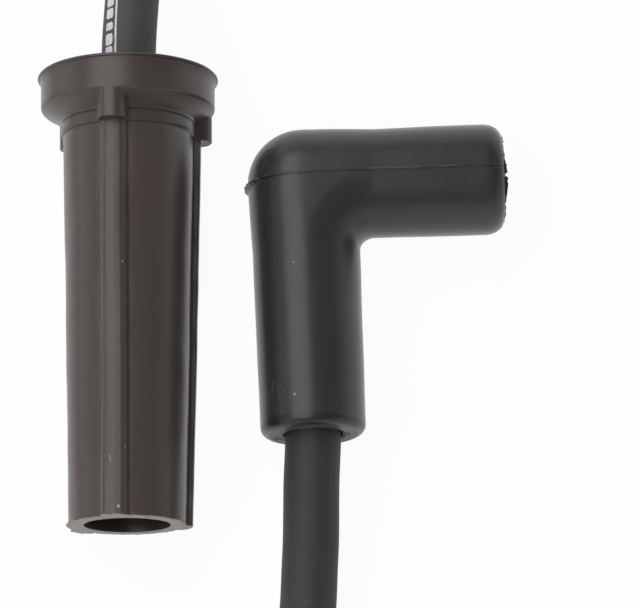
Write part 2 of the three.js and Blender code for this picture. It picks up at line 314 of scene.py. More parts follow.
def evenly(points, spacing):  # the same line through points an even way apart
    runs = [(b - a).length for a, b in zip(points, points[1:])]
    count = max(2, round(sum(runs) / spacing))
    step = sum(runs) / count
    spaced = [points[0]]
    walked = 0.0
    for start, end, run in zip(points, points[1:], runs):
        while len(spaced) < count and walked + run >= step * len(spaced):
            spaced.append(start.lerp(end, (step * len(spaced) - walked) / run))
        walked += run
    return spaced + [points[-1]]


# A thin plain line along the cable, and beside it plain blocks with rounded corners
def cablePrint(f, lay, fuzz):
    c = cableLook
    around, side, along = f.parts(lay)

    def across(degrees):
        angle = math.radians(degrees)
        return ((side * math.cos(angle) - around * math.sin(angle)) * c["radius"]).absolute()

    def facing(degrees):
        angle = math.radians(degrees)
        return (around * math.cos(angle) + side * math.sin(angle)).above(0, 0.2)

    edge = (fuzz - 0.5) * 0.00014
    half = c["lineWidth"] / 2
    line = 1 - (across(c["lineAt"]) + edge * 0.5).above(half - 0.00004, half + 0.00004)
    steps = along / c["blockPitch"]
    chance = f.node("ShaderNodeTexWhiteNoise", {"noise_dimensions": "1D"}, {"W": steps.math("FLOOR")})
    reach = (chance * 0.17 + 0.3) * c["blockPitch"] - c["blockCorner"]
    alongPast = (((steps.math("FRACT") - 0.5) * c["blockPitch"]).absolute() - reach).math("MAXIMUM", 0.0)
    acrossPast = (across(c["blocksAt"]) - (c["blockWidth"] / 2 - c["blockCorner"])).math("MAXIMUM", 0.0)
    outside = (alongPast * alongPast + acrossPast * acrossPast).math("SQRT") + edge
    block = 1 - outside.above(c["blockCorner"] - 0.00005, c["blockCorner"] + 0.00005)
    share = c["groupShare"]
    group = 1 - (along / c["groupPitch"]).math("FRACT").above(share - 0.001, share + 0.001)
    return (line * facing(c["lineAt"]) + block * group * facing(c["blocksAt"])).math("MINIMUM", 1.0)


def cableFinish():
    f = finish("cable_jacket")
    lay = f.attribute("lay")
    place = f.stretched(lay, (cableLook["radius"], cableLook["radius"], 1.0))
    fuzz = f.grain(place, 2600, 3, 0.6)
    worn = f.grain(place, 1500, 4, 0.65).above(0.3, 0.5)
    ink = cablePrint(f, lay, fuzz) * (0.68 + worn * 0.32)
    dust = f.grain(place, 900, 5, 0.7).above(0.62, 0.8)
    rubber = f.blend(f.grain(place, 90, 3, 0.5), tone(58, 59, 60), tone(70, 71, 71))
    # darker over the last part of the cable, towards the elbow boot
    towardsElbow = f.parts(lay)[2].above(*cableLook["darkFrom"])
    rubber = f.blend(towardsElbow * 0.9, rubber, tone(44, 42, 42))
    rubber = f.blend(dust * 0.3, rubber, tone(112, 112, 110))
    colour = f.blend(ink, rubber, tone(208, 208, 212))
    height = fuzz * 0.5 + f.grain(f.stretched(place, (1, 1, 0.15)), 1800, 2) * 0.5 + ink * 0.4
    return f.close(Base_Color=colour, Roughness=0.56 + fuzz * 0.16, Normal=f.bump(height, 0.00004, 0.6))


def makeCable():
    points = evenly(splinePoints([Vector(p) for p in cableLook["route"]]), cableLook["ringSpacing"])
    tangents = [(b - a).normalized() for a, b in zip(points, points[1:])]
    tangents.append(tangents[-1])
    up = Vector((0, 0, 1))
    rings = []
    lays = []
    sides = cableLook["sides"]
    total = sum((b - a).length for a, b in zip(points, points[1:]))
    walked = 0.0
    for i, (point, tangent) in enumerate(zip(points, tangents)):
        walked += (point - points[i - 1]).length if i else 0.0
        up = (up - tangent * up.dot(tangent)).normalized()
        left = up.cross(tangent)
        turned = math.radians(cableLook["twist"]) * walked / total
        ring = []
        for k in range(sides):
            angle = 2 * math.pi * k / sides
            uneven = noise.noise(Vector((math.cos(angle), math.sin(angle), walked * 220)))
            radius = cableLook["radius"] - cableLook["unevenness"] * (0.6 + uneven)
            ring.append(point + (up * math.cos(angle) + left * math.sin(angle)) * radius)
            lays.append((math.cos(angle - turned), math.sin(angle - turned), walked))
        rings.append(ring)
    bm = bmesh.new()
    layer = bm.verts.layers.float_vector.new("lay")
    for ring, start in zip(drawThrough(bm, rings), range(0, len(lays), sides)):
        for vertex, value in zip(ring, lays[start:start + sides]):
            vertex[layer] = value
    made = pieceFrom(bm, "cable_free", cableFinish(), 60)
    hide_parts("cable")
    print("cable drawn, mm:", round(total / mm, 1))


makeCable()


# Straight boot of brown silicone: places along its axis are in mm from its mouth

plugBoot = {
    "place": (-20.06, -32.78),
    "yaw": 0.81,
    "length": 65.5,
    "mouthRadius": 8.25,
    "neckRadius": 9.45,
    "bodyLength": 56.6,
    "bodyRings": 40,
    "endRings": (6.6, 6.95, 7.3, 7.65, 7.95),
    "collarRadius": 9.67,
    "collarRings": (56.82, 57.2, 57.6, 58.0, 58.36),
    "coneStart": 58.7,
    "cone": ((9.78, 58.95), (10.15, 59.2), (10.7, 59.5), (11.3, 59.83), (11.95, 60.19)),
    "flangeStart": 60.95,
    "flangeRadius": 12.67,
    "flangeRounding": 0.6,
    "wallRings": (61.3, 61.9, 62.6, 63.2, 63.7),
    "lipNeck": (  # beyond the flange's radius, place, painted crease shade
        (0.02, 64.2, 0), (0.09, 64.55, 0), (0.2, 64.82, 0), (0.25, 64.95, 0.3)),
    "lipRadius": 13.15,
    "lipHeight": 0.8,
    "cupRadius": 11.3,
    "cupFloor": 61.9,
    "sleeveRadius": 6.0,
    "sleeveTop": 65.1,
    "cableBore": 4.3,
    "chamber": (31.4, 52.8, 6.3),
    "bore": 6.1,
    "grip": 5.85,
    "ribTurns": (-8, 109.75, 232),  # degrees from the top towards the right
    "ribHalf": 1.96,
    "ribHeight": 1.25,
    "ribGrowth": 0.3,
    "ribGroove": (1.36, 0.17, 0.07),  # its place, half width and depth
    "ribDraft": 0.45,
    "ribCorner": 0.4,
    "ribCrown": 0.32,  # how far the top falls to each side
    "ribRidge": 0.25,  # how blunt its highest line is
    "ribHighlightAt": 1.78,  # where a painted highlight runs along the left edge of each rib
    "ribSpread": 18,  # degrees to each side of a rib that it may reach
    "lugHalf": 2.05,
    "lugReach": 12.65,
    "lugCrown": 0.2,
    "lugCorner": 1.5,
    "lugBottom": 56.5,
    "cornerEasing": 1.2,  # softness for each mm of a corner
    "lean": (  # place, tilt, and shifts in mm sideways and along the axis
        (0.0, 0.016, 0.03, -0.2),
        (6.0, 0.012, 0.05, -0.1),
        (20.0, 0.0, 0.08, 0.0),
        (56.0, -0.035, -0.03, 0.12),
        (59.0, -0.035, -0.05, 0.12),
        (61.0, -0.012, -0.06, 0.05),
        (66.0, -0.012, -0.06, 0.08),
    ),
    "tornTurn": 1.8,  # where the mouth's edge is torn most, in radians
    "tornReach": 0.42,
    "tornRough": 0.14,
    "wave": 0.05,
    "sag": 0.12,
    "sagTop": 56,
    "specks": (
        ((-0.02131, 0.02631, 0.02445), 0.0001), ((-0.02261, 0.01377, 0.02205), 0.00016),
        ((-0.02057, 0.00189, 0.02108), 0.00012), ((-0.02056, -0.03245, 0.01772), 0.00024),
        ((-0.01754, 0.0319, 0.02547), 0.00022),
    ),
    "nick": (
        ((-0.02196, -0.02545, 0.0183), 0.00016), ((-0.02186, -0.02575, 0.0183), 0.00018),
        ((-0.02182, -0.02605, 0.01828), 0.00019), ((-0.02188, -0.02633, 0.01826), 0.00016),
        ((-0.02222, -0.02682, 0.01824), 0.00017), ((-0.02246, -0.0268, 0.01822), 0.00012),
    ),
    "nickShade": (((-0.02212, -0.0262, 0.01828), 0.00026), ((-0.0221, -0.0265, 0.01826), 0.00022)),
}


def plugBootMatrix():
    p = plugBoot
    pitch = math.atan2(p["lipRadius"] - p["mouthRadius"], p["length"] - p["lipHeight"])
    turn = Matrix.Rotation(pitch, 4, "X") @ Matrix.Rotation(math.radians(p["yaw"]), 4, "Z")
    return Matrix.Translation((*p["place"], p["mouthRadius"] * math.cos(pitch))) @ turn


def plugBootProfile():  # (radius, place along the axis, part, painted crease shade) round the whole section
    p = plugBoot
    points = []

    def add(part, *places, creaseShade=0):
        points.extend((radius, y, part, creaseShade) for radius, y in places)

    mouth, neck, bottom = p["mouthRadius"], p["neckRadius"], p["lugBottom"]
    add("end", (p["bore"] + 0.02, 0.0), *[(radius, 0.0) for radius in p["endRings"]])
    add("endRim", (mouth - 0.06, 0.0))
    add("edge", (mouth, 0.1))
    taper = (neck - mouth) / p["bodyLength"]
    for i in range(p["bodyRings"] + 1):
        y = 0.35 + (bottom - 0.4) * i / p["bodyRings"]
        add("body", (mouth + taper * y, y))
    add("body", (neck - 0.02, bottom - 0.02))
    add("lugEnd", (neck - 0.02, bottom))
    collar = p["collarRadius"]
    add("lug", (neck - 0.03, 56.57))
    add("lug", (neck - 0.04, 56.63), creaseShade=1)
    add("lug", (collar - 0.07, 56.72), *[(collar, y) for y in p["collarRings"]])
    add("lug", (collar - 0.06, 58.46), creaseShade=1)
    add("lug", (collar + 0.04, 58.55), *p["cone"])
    flange, reach = p["flangeRadius"], p["flangeRounding"]
    for degrees in range(-66, 1, 11):
        angle = math.radians(degrees)
        add("lug", (flange - reach + reach * math.cos(angle), p["flangeStart"] + reach * math.sin(angle)))
    add("wall", *[(flange, y) for y in p["wallRings"]])
    for beyond, y, creaseShade in p["lipNeck"]:
        add("wall", (flange + beyond, y), creaseShade=creaseShade)
    lip, top, cup = p["lipRadius"], p["length"], p["cupRadius"]
    add("lip", (flange + 0.24, 65.03), creaseShade=1)
    add("lip", (lip - 0.05, 65.12), creaseShade=0.2)
    add("lip", (lip, 65.22), (lip - 0.02, 65.36), (lip - 0.12, top - 0.03))
    add("lip", (12.8, top), (12.2, top), (11.7, top - 0.02), (cup, top - 0.12))
    floor, sleeve, sleeveTop, narrow = p["cupFloor"], p["sleeveRadius"], p["sleeveTop"], p["cableBore"]
    add("cup", (cup - 0.05, 64.4), (cup - 0.1, 62.4), (cup - 0.5, floor), (8.6, floor), (sleeve + 0.4, floor))
    add("cup", (sleeve, 62.3), (sleeve, sleeveTop - 0.25))
    add("cup", (sleeve - 0.25, sleeveTop), (narrow + 0.15, sleeveTop))
    start, end, wide = p["chamber"]
    add("bore", *[(narrow, y) for y in (sleeveTop - 0.15, 60.0, end + 2)])
    add("bore", *[(wide, y) for y in (end, 42.0, start)])
    add("bore", *[(p["grip"], y) for y in (start - 0.45, 24, 17, 10, 5, 3)])
    add("bore", *[(p["bore"], y) for y in (2.75, 1.4, 0.12)])
    return points


def softLeast(a, b, softness):  # the lesser of two, eased where they are alike
    return min(a, b) - softness / 4 * (1 - min(1.0, abs(a - b) / softness)) ** 2


def ribDepth(x, z, y):  # how deep a point of a cross-section lies inside a rib
    p = plugBoot
    share = y / p["bodyLength"]
    base = p["mouthRadius"] + (p["neckRadius"] - p["mouthRadius"]) * share
    middle, half, depth = p["ribGroove"]
    groove = depth * math.exp(-((abs(x) - middle) / half) ** 2)
    fall = p["ribCrown"] * math.hypot(x, p["ribRidge"]) / p["ribHalf"]
    top = base + p["ribHeight"] + p["ribGrowth"] * share - fall - groove
    draft = p["ribDraft"] * max(0.0, z - base) / p["ribHeight"]
    return softLeast(top - z, p["ribHalf"] - draft - abs(x), p["cornerEasing"] * p["ribCorner"])


def lugDepth(x, z):
    p = plugBoot
    top = p["lugReach"] - p["lugCrown"] * (x / p["lugHalf"]) ** 2
    return softLeast(top - z, p["lugHalf"] - abs(x), p["cornerEasing"] * p["lugCorner"])


def outermost(offset, depth):  # along a ray from the axis, where a depth turns from above 0 to below
    low, high = 5.0, 14.0
    for _ in range(20):
        middle = (low + high) / 2
        if depth(middle * math.sin(offset), middle * math.cos(offset)) > 0:
            low = middle
        else:
            high = middle
    return low


def plugBootColumns():  # angles round the boot, close together at the sides of the ribs
    spread = plugBoot["ribSpread"]
    between = 120 - 2 * spread
    close = [0, 1.3, 2.6, 3.9, 5.0, 5.8, *[6.4 + 0.36 * i for i in range(25)], 15.8, 16.8, spread]
    found = []
    for turn in plugBoot["ribTurns"]:
        found += [turn - d for d in reversed(close[1:])] + [turn + d for d in close]
        found += [turn + spread + between * i / 30 for i in range(1, 30)]
    return [math.radians(d) for d in found]


def ribOffset(angle, turn):  # from a rib's middle, between a half turn left and right
    return (angle - math.radians(turn) + math.pi) % (2 * math.pi) - math.pi


def plugBootRadius(radius, y, part, angle):  # with the ribs and the lugs
    p = plugBoot
    offset = min(abs(ribOffset(angle, turn)) for turn in p["ribTurns"])
    if offset > math.radians(p["ribSpread"]):
        return radius
    if part in ("edge", "body", "lugEnd", "lug") and y < p["coneStart"] - 0.02:
        radius = -softLeast(-radius, -outermost(offset, lambda x, z: ribDepth(x, z, y)), 0.15)
    if part == "endRim":
        radius = max(radius, outermost(offset, lambda x, z: ribDepth(x, z, 0)) - 0.06)
    if part in ("lugEnd", "lug"):
        eased = 0.08 if part == "lugEnd" else 0
        radius = max(radius, outermost(offset, lugDepth) - eased)
    return radius


def plugBootLean(y):  # tilt, and the shifts sideways and along the axis
    stations = plugBoot["lean"]
    for low, high in zip(stations, stations[1:]):
        if y <= high[0]:
            share = max(0.0, (y - low[0]) / (high[0] - low[0]))
            return [a + (b - a) * share for a, b in zip(low[1:], high[1:])]
    return stations[-1][1:]


def silicone(name):
    p = plugBoot
    f = finish(name)
    place = f.objectPlace()
    end, lugEnd, inside = f.parts(f.attribute("form"))
    creaseShade, darkened, ribHighlight = f.parts(f.attribute("paintedLight"))
    cloud = f.grain(place, 55, 3, 0.55)
    broad = f.grain(f.stretched(place, (1, 0.45, 1)), 130, 3, 0.6)
    streak = f.grain(f.stretched(place, (1, 0.12, 1)), 420, 3, 0.6)
    fine = f.grain(place, 2400, 3, 0.6)
    torn = f.grain(place, 1300, 5, 0.7)
    colour = f.blend(cloud, tone(66, 58, 56), tone(76, 67, 65))
    colour = f.blend(broad.above(0.35, 0.7) * 0.4, colour, tone(60, 57, 50))
    colour = f.blend(streak.above(0.35, 0.7) * 0.3, colour, tone(58, 53, 49))
    colour = f.blend(end * (0.62 + torn * 0.35), colour, tone(158, 152, 145))
    colour = f.blend(end * torn.above(0.56, 0.66) * 0.7, colour, tone(92, 85, 78))
    # pale painted reflection of the floor on the lugs' ends, mottled by the torn texture, little of it on the
    # top lug
    colour = f.blend(lugEnd * (0.3 + torn * 0.6), colour, tone(146, 141, 134))
    patchy = f.grain(place, 150, 2).above(0.35, 0.62) * 0.7 + 0.3
    # painted shade in the creases at the collar, the cone and the lip, in patches
    colour = f.blend(creaseShade * patchy * 0.85, colour, tone(24, 21, 20))
    # painted shadow on the rib just under the top lug
    colour = f.blend(darkened * 0.85, colour, tone(30, 27, 26))
    # painted highlight along the left edge of each rib, in patches
    colour = f.blend(ribHighlight * patchy * 0.45, colour, tone(142, 134, 132))
    # painted shade inside the bore
    colour = f.blend(inside * 0.8, colour, tone(26, 23, 20))
    small = (1 - f.cells(place, 190).above(0.022, 0.04)) * f.grain(place, 70, 1).above(0.66, 0.68)
    specks = (f.marks(place, p["specks"]) + small * 0.7).math("MINIMUM", 1.0)
    colour = f.blend(specks, colour, tone(164, 160, 152))
    nick = f.marks(place, p["nick"])
    colour = f.blend(f.marks(place, p["nickShade"]) * 0.8, colour, tone(34, 30, 30))
    colour = f.blend(nick * 0.6, colour, tone(158, 152, 156))
    rough = 0.28 + cloud * 0.07 + fine * 0.05 + (end + lugEnd) * 0.25
    height = fine * 0.25 + streak * 0.3 + (end + lugEnd) * torn * 4 + nick * 4 + specks * 2
    return f.close(
        Base_Color=colour, Roughness=rough, Normal=f.bump(height, 0.00003, 0.7), Sheen_Weight=0.15,
        Sheen_Roughness=0.3)


def makePlugBoot():
    p = plugBoot
    profile = plugBootProfile()
    columns = plugBootColumns()
    count = len(columns)
    bm = bmesh.new()
    station = bm.verts.layers.int.new("station")
    form = bm.verts.layers.float_vector.new("form")
    paintedLight = bm.verts.layers.float_vector.new("paintedLight")
    outline = [bm.verts.new((0, y, r)) for r, y, _, _ in profile]
    for i, vertex in enumerate(outline):
        vertex[station] = i
    edges = [bm.edges.new(pair) for pair in pairsRound(outline)]
    bmesh.ops.spin(
        bm, geom=outline + edges, cent=(0, 0, 0), axis=(0, 1, 0), angle=2 * math.pi, steps=count,
        use_merge=True, use_duplicate=False)
    bmesh.ops.remove_doubles(bm, verts=bm.verts, dist=1e-5)
    for vertex in bm.verts:
        radius, y, part, creaseShade = profile[vertex[station]]
        column = round((math.atan2(vertex.co.x, vertex.co.z) % (2 * math.pi)) / (2 * math.pi) * count) % count
        angle = columns[column]
        reach = plugBootRadius(radius, y, part, angle)
        lugged = part == "lugEnd" and reach > radius + 0.1
        outer = part in ("body", "edge", "wall", "lug", "lugEnd", "lip")
        turned = Vector((math.sin(angle), 0, math.cos(angle)))
        if outer:
            reach += p["wave"] * noise.noise(turned * 3 + Vector((0, y * 0.22, 0)))
            reach += p["sag"] * noise.noise(turned * 1.1 + Vector((4, y * 0.07, 1))) * (y < p["sagTop"])
        if part in ("end", "endRim", "edge"):
            rough = noise.noise(turned * 14 + Vector((0, radius, 0)))
            torn = max(0.0, math.cos(angle + p["tornTurn"])) ** 6
            y = max(y + 0.1 * rough * (radius - 6) / 2.5, -0.1)
            reach += (p["tornRough"] * max(0.0, rough) + p["tornReach"] * torn) * (part != "end")
        facesUp = math.cos(angle) > 0.7  # the lug on top: its end gets painted shade instead of the pale painted reflection
        vertex[form] = (
            1.0 if part in ("end", "endRim") else 0.0, (0.12 if facesUp else 1.0) if lugged else 0.0,
            1.0 if part == "bore" else 0.0)
        onLug = part in ("lug", "lugEnd") and reach > radius + 0.1
        offset = min((ribOffset(angle, turn) for turn in p["ribTurns"]), key=abs)
        underLug = abs(y - p["lugBottom"]) < 0.03 and abs(offset) < math.asin(p["lugHalf"] / p["lugReach"])
        onRib = part == "body" and reach > radius + 0.4
        ribHighlight = math.exp(-((reach * math.sin(offset) + p["ribHighlightAt"]) / 0.13) ** 2) if onRib else 0.0
        # painted light: crease shade, the shadow under the top lug and the highlight on each rib's left edge
        vertex[paintedLight] = (0.0 if onLug else creaseShade, 1.0 if underLug and facesUp else 0.0, ribHighlight)
        tilt, sideways, onward = plugBootLean(y)
        vertex.co = turned * reach + Vector((sideways, y + onward + tilt * reach * turned.z, 0))
    toFrame(bm, plugBootMatrix())
    coat = silicone("brown_silicone")
    made = pieceFrom(bm, "plug_boot_moulding", coat)
    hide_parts("plug_boot")
    print("straight boot:", len(made.data.polygons), "faces")
    return coat


def makePlugFlash(coat):  # torn remains round the mouth's bore and its right edge
    p = plugBoot
    down = Vector((0, -1, 0))
    for name, radius, start, end, low, high, closed in (
            ("plug_bore_flash", p["bore"] + 0.2, 0, 358, -0.1, 0.1, True),
            ("plug_mouth_flash", p["mouthRadius"] - 0.3, 60, 104, -0.1, 0.3, False)):
        stations = []
        for degrees in range(start, end, 2):
            angle = math.radians(degrees)
            outward = Vector((math.sin(angle), 0, math.cos(angle)))
            stations.append((outward * radius, down, outward, ragged(radius, degrees * 0.2, low, high)))
        makeFlash(name, stations, 0.2, plugBootMatrix(), coat, closed)


makePlugFlash(makePlugBoot())


# Elbow boot of black rubber, in mm from the place where its two axes cross

elbowBoot = {
    "place": (4.71, 17.85, 8.14),
    "yaw": 2.18,
    "cableLeg": 37.2,
    "mouthLeg": 29.0,
    "corner": 7.92,
    "cableEnd": 7.53,
    "mouthEnd": 8.14,
    "fillet": 2.3,
    "cableRounding": 1.3,
    "cableLonger": 0.4,  # than the solid's leg
    "mouthRounding": (2.7, 1.8),  # along the leg and inwards
    "cornerFullness": 0.42,
    "partingPlace": (0.35, 0.05),  # below the axis in mm, and more of it with the height
    "cornerFlash": (-20, 50),  # where the fin starts and how far it runs, in degrees
    "mouthFlash": (82, 56),
    "mouthFlashGap": (9, 10),  # stations where it is torn away
    "bore": 6.2,
    "boreRings": (26, 22, 18, 14),
    "cableBore": 4.3,
    "chamber": (6.3, 16.3, 18.3),
    "endRings": (4.5, 4.9, 5.4, 5.9),
    "legStart": 36.0,
    "sides": 112,
    "cornerSteps": 36,
    "wave": 0.07,
    "darkerBelow": (-0.0187, 0.0143),  # marks from here on are in metres in the frame
    "endMiddle": 0.00612,
    "dimpleShade": ((0.0135, 0.01052, 0.0119), 0.0013),
    "specks": (
        ((0.0035, -0.01565, 0.01473), 0.0002), ((0.00529, 0.01482, 0.01596), 0.00014),
        ((0.00331, 0.00365, 0.01543), 0.00013),
    ),
    "slits": ((0.00114, 0.00637, 0.0007, 0.00085), (0.01088, 0.00784, 0.00058, 0.0008)),
}


def cableFace():
    return -elbowBoot["cableLeg"] - elbowBoot["cableLonger"]


def elbowMatrix():
    e = elbowBoot
    pitch = math.atan2(e["mouthEnd"] - e["cableEnd"], e["cableLeg"])
    turn = Matrix.Rotation(pitch, 4, "X") @ Matrix.Rotation(math.radians(e["yaw"]), 4, "Z")
    return Matrix.Translation(e["place"]) @ turn


def cornerPoint(turn, angle, radius, filleted):  # on a plane turned about the inside corner
    pivot = elbowBoot["corner"] + elbowBoot["fillet"]
    across = radius * math.cos(angle)
    cosine = max(1e-6, abs(math.cos(turn)))
    sine = max(1e-6, math.sin(turn))
    first = (pivot + across) / cosine
    second = (pivot + across) / sine
    if across <= 0:
        reach = pivot + across if filleted else min(first, second)
    elif first * sine <= pivot:
        reach = first
    elif second * cosine <= pivot:
        reach = second
    else:
        middle = pivot * (cosine + sine)
        reach = middle + math.sqrt(max(0.0, middle ** 2 - 2 * pivot ** 2 + across ** 2))
    return Vector((pivot - reach * cosine, reach * sine - pivot, radius * math.sin(angle)))


def elbowRadius(leg, place, angle=0.0):  # of the outside, at a place on a leg or a turn at the corner
    e = elbowBoot
    if leg == "cable":
        return e["corner"] + (e["corner"] - e["cableEnd"]) * place / e["cableLeg"]
    if leg == "mouth":
        return e["corner"] + (e["mouthEnd"] - e["corner"]) * place / e["mouthLeg"]
    pivot = e["corner"] + e["fillet"]
    share = (math.pi - place) / (math.pi / 2)
    straight = elbowRadius("cable", -pivot) * (1 - share) + elbowRadius("mouth", pivot) * share
    outer = 0.5 + 0.5 * math.cos(angle)  # full on the outside of the corner, nothing on the inside
    return straight + e["cornerFullness"] * math.sin(math.pi * share) * outer


def elbowStations():  # (leg, place, radius, part) round the whole section
    e = elbowBoot
    pivot = e["corner"] + e["fillet"]
    end = e["cableEnd"] - e["cableRounding"]
    last = cableFace()
    quarter = [math.radians(90 * i / 8) for i in range(1, 9)]
    found = [("cable", last, r, "cableEnd") for r in (*e["endRings"], end)]
    for angle in quarter:
        y = last + e["cableRounding"] * (1 - math.cos(angle))
        found.append(("cable", y, end + e["cableRounding"] * math.sin(angle), "out"))
    for i in range(1, 27):
        y = -e["legStart"] + (e["legStart"] - pivot) * i / 26
        found.append(("cable", y, elbowRadius("cable", y), "out"))
    steps = e["cornerSteps"]
    turns = [math.pi - math.pi / 2 * i / steps for i in range(1, steps)]
    found += [("corner", turn, None, "out") for turn in turns]
    mouth, bore = e["mouthLeg"], e["bore"]
    length, inwards = e["mouthRounding"]
    for i in range(21):
        x = pivot + (mouth - length - pivot) * i / 20
        found.append(("mouth", x, elbowRadius("mouth", x), "out"))
    for angle in quarter:
        x = mouth - length * (1 - math.sin(angle))
        found.append(("mouth", x, e["mouthEnd"] - inwards * (1 - math.cos(angle)), "out"))
    found += [("mouth", mouth, bore + 0.1, "mouthEnd"), ("mouth", mouth - 0.12, bore, "in")]
    found += [("mouth", x, bore, "in") for x in (*e["boreRings"], pivot)]
    found += [("corner", math.pi / 2 + math.pi / 2 * i / 10, bore, "in") for i in range(1, 10)]
    wide, wideEnd, coneEnd = e["chamber"]
    found += [("cable", -pivot, wide, "in"), ("cable", -wideEnd, wide, "in")]
    return found + [("cable", y, e["cableBore"], "in") for y in (-coneEnd, -24, -30, -35, last + 0.12)]


def elbowPoint(leg, place, radius, part, angle):
    if leg == "corner":
        return cornerPoint(place, angle, radius, part == "out")
    across = radius * math.cos(angle)
    if leg == "cable":
        return Vector((-across, place, radius * math.sin(angle)))
    return Vector((place, across, radius * math.sin(angle)))


def rubber(name):
    e = elbowBoot
    f = finish(name)
    place = f.objectPlace()
    cut, seam, inside = f.parts(f.attribute("form"))
    x, y, z = f.parts(place)
    cloud = f.grain(place, 60, 3, 0.55)
    fine = f.grain(place, 2600, 3, 0.6)
    smear = f.grain(f.stretched(place, (1, 0.5, 1)), 230, 4, 0.65)
    torn = f.grain(place, 1500, 4, 0.7)
    wander = (f.grain(place, 170, 3) - 0.5) * 0.0004 + (fine - 0.5) * 0.00008
    away = seam + wander
    depth = f.grain(place, 330, 3).above(0.3, 0.5)
    line = (1 - away.absolute().above(0.00008, 0.00024)) * (0.5 + depth * 0.5)
    raised = 1 - (away - 0.0003).absolute().above(0.00003, 0.00013)
    ridgeHighlight = raised * f.grain(place, 240, 3).above(0.44, 0.58)
    colour = f.blend(cloud, tone(42, 41, 42), tone(50, 49, 50))
    colour = f.blend(smear.above(0.55, 0.8) * 0.2, colour, tone(84, 83, 84))
    # painted shade under the step of the parting line
    colour = f.blend(line * 0.85, colour, tone(16, 16, 16))
    # painted highlight on the raised edge of the parting line, in patches
    colour = f.blend(ridgeHighlight * 0.35, colour, tone(112, 111, 112))
    # near the cable's middle the cut end mostly keeps its dark colour, as painted shade of the gap round the
    # cable
    beside = (x - e["endMiddle"]).absolute().above(0.0036, 0.0045)
    cut = cut * (beside + (torn.above(0.58, 0.7) * 0.5)).math("MINIMUM", 1.0)
    # darker towards the end of the cable leg: past a place along y and left of a place along x
    darkY, darkX = e["darkerBelow"]
    darkened = 1 - y.above(darkY, darkY + 0.0006)
    colour = f.blend(darkened * (1 - x.above(darkX, darkX + 0.0003)) * 0.7, colour, tone(24, 23, 24))
    colour = f.blend(cut * (0.5 + torn * 0.4), colour, tone(126, 125, 119))
    # painted shade in a small dimple
    dimpleShade = place.near(*e["dimpleShade"], 1.0)
    colour = f.blend(dimpleShade * 0.95, colour, tone(12, 11, 12))
    # painted shade inside two slits in the cable end
    slits = 0.0
    for slitX, slitZ, halfLength, halfHeight in e["slits"]:
        far = ((x - slitX) / halfLength).math("POWER", 2.0) + ((z - slitZ) / halfHeight).math("POWER", 2.0)
        slits = slits + (1 - far.above(0.6, 1.3))
    slits = slits * cut
    colour = f.blend(slits, colour, tone(12, 12, 12))
    # painted shade inside the bores
    colour = f.blend(inside * 0.7, colour, tone(20, 20, 20))
    small = (1 - f.cells(place, 230).above(0.018, 0.034)) * f.grain(place, 80, 1).above(0.66, 0.68)
    specks = (f.marks(place, e["specks"]) + small * 0.7).math("MINIMUM", 1.0)
    colour = f.blend(specks, colour, tone(138, 138, 136))
    hairs = f.grain(f.stretched(place, (1, 0.3, 1)), 900, 2, 0.4)
    scratched = (1 - (hairs - 0.5).absolute().above(0.004, 0.014)) * f.grain(place, 120, 2).above(0.6, 0.7)
    colour = f.blend(scratched * 0.14, colour, tone(110, 109, 110))
    rough = 0.25 + cloud * 0.06 + smear * 0.07 + cut * 0.35 + scratched * 0.2
    height = fine * 0.18 + smear * 0.25 + cut * torn * 3 + ridgeHighlight * 2 - line * 3 - slits * 6 - scratched * 0.5
    return f.close(
        Base_Color=colour, Roughness=rough, Normal=f.bump(height, 0.00004, 0.7), Sheen_Weight=0.3,
        Sheen_Roughness=0.3)


def makeElbow():
    e = elbowBoot
    sides = e["sides"]
    rings = []
    forms = []
    for leg, place, radius, part in elbowStations():
        ring = []
        for k in range(sides):
            angle = 2 * math.pi * k / sides
            drawn = elbowRadius("corner", place, angle) if radius is None else radius
            point = elbowPoint(leg, place, drawn, part, angle)
            if part == "out":
                reach = drawn + e["wave"] * noise.noise(point * 0.11)
                point = elbowPoint(leg, place, reach, part, angle)
            elif part == "cableEnd" and drawn < 5:
                jag = noise.noise(Vector((math.cos(angle) * 5, math.sin(angle) * 5, drawn)))
                point = elbowPoint(leg, place, drawn + 0.28 * jag, part, angle)
            ring.append(point)
            cut = 1.0 if part in ("cableEnd", "mouthEnd") else 0.0
            below, more = e["partingPlace"]
            away = (point.y + below + more * point.z) * mm if part == "out" else 0.01
            forms.append((cut, away, 1.0 if part == "in" else 0.0))
        rings.append(ring)
    bm = bmesh.new()
    layer = bm.verts.layers.float_vector.new("form")
    for i, ring in enumerate(drawThrough(bm, rings, closed=True)):
        for k, vertex in enumerate(ring):
            vertex[layer] = forms[i * sides + k]
    toFrame(bm, elbowMatrix())
    coat = rubber("black_rubber")
    made = pieceFrom(bm, "elbow_boot_moulding", coat, 50)
    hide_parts("elbow_boot")
    print("elbow boot:", len(made.data.polygons), "faces")
    return coat


